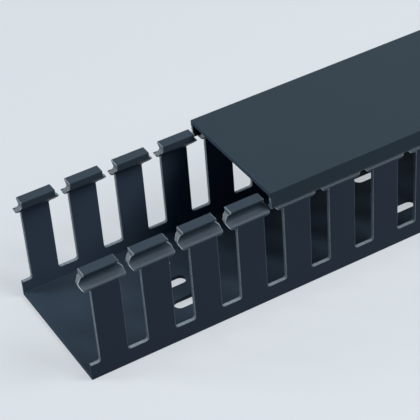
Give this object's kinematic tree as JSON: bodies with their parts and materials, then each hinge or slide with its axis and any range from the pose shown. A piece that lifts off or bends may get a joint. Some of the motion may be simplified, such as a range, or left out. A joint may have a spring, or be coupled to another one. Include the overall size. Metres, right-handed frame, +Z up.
{
  "type": "slotted wire duct",
  "caption": "Straight slotted wiring duct: a plastic trough with headed side fingers and slotted floor, and a snap-fit cover slid part way back.",
  "frame": {"origin": "on the underside of the trough, at the middle of its length and width, which is the centre of the middle mounting slot", "axes": "+X along the duct, from the end that the cover leaves open towards the other end; +Y across the duct, away from the wall that the picture shows nearest; +Z up, out of the trough"},
  "size_m": [0.579, 0.058, 0.0502],
  "materials": {
    "trough_plastic": "extruded satin, dark slate grey",
    "cover_plastic": "extruded satin, dark slate grey"
  },
  "bodies": {
    "trough": {"slotted_trough": "trough_plastic"},
    "cover": {"snap_cover": "cover_plastic"}
  },
  "joints": [
    {"name": "cover_slide", "type": "slide", "parent": "trough", "child": "cover", "axis": [1, 0, 0], "range_m": [-0.079, 0.17]}
  ]
}
